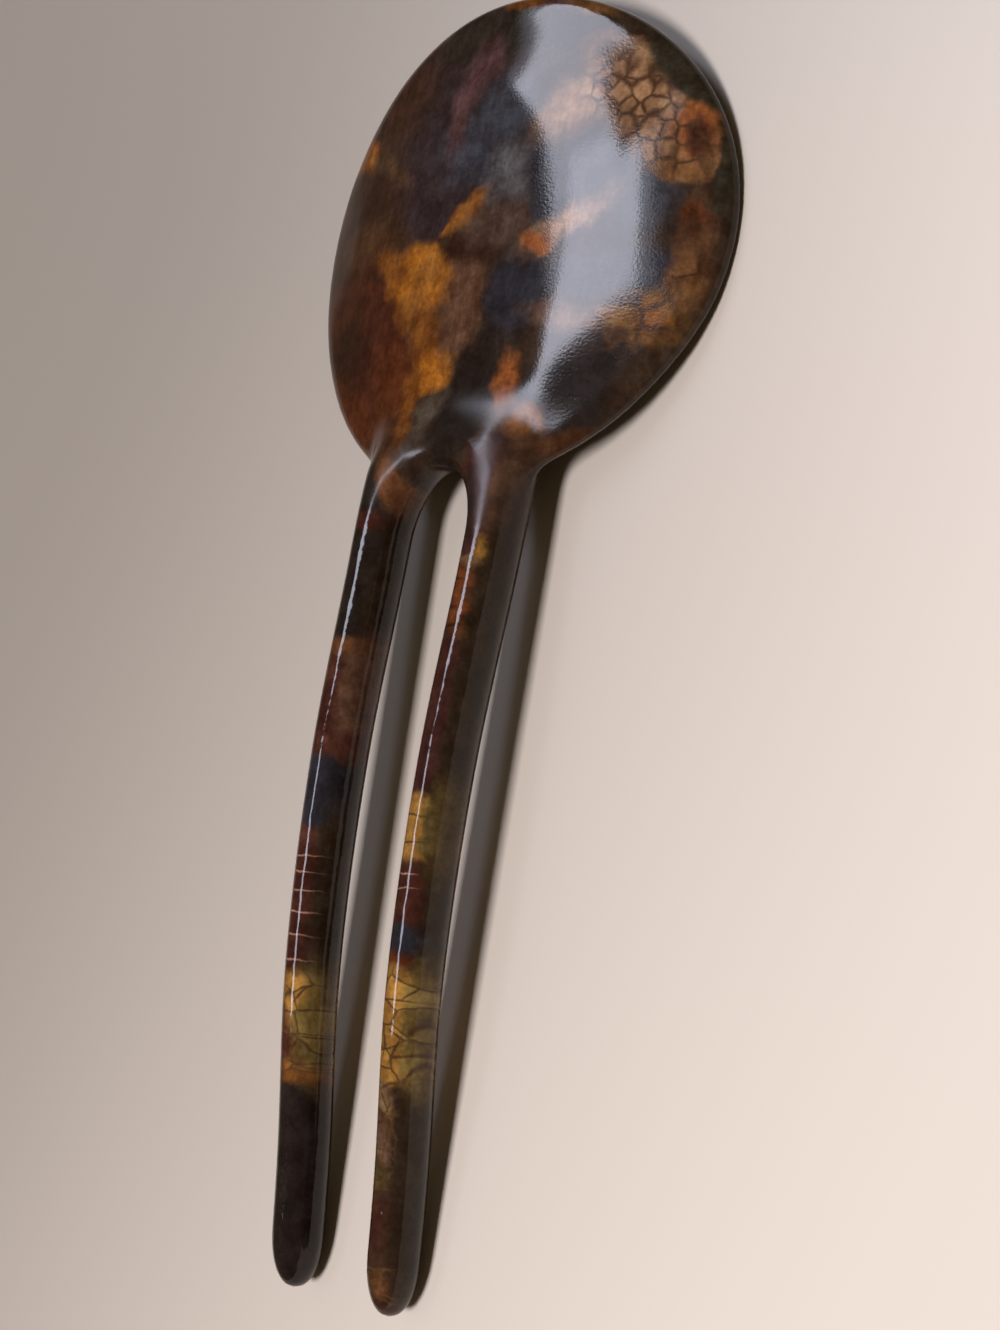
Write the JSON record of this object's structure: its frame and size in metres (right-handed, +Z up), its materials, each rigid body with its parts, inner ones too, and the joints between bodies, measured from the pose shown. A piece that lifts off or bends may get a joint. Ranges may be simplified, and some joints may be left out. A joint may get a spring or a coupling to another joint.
{
  "type": "hair fork",
  "caption": "Hair fork in one piece: a round domed head with long arched prongs and a slim gap between them that grips a bun.",
  "frame": {"origin": "on the table below the middle of the fork's length, as it lies dome up", "axes": "+Y from the prong tips to the head, +X across the fork, +Z up, out of the dome"},
  "size_m": [0.056, 0.14, 0.0119],
  "materials": {
    "hair_fork": "polished mottled tortoiseshell: near-black, dark red-brown, amber and ochre patches with fine dark veins"
  },
  "bodies": {
    "root": {"hair_fork": "hair_fork"}
  },
  "joints": []
}
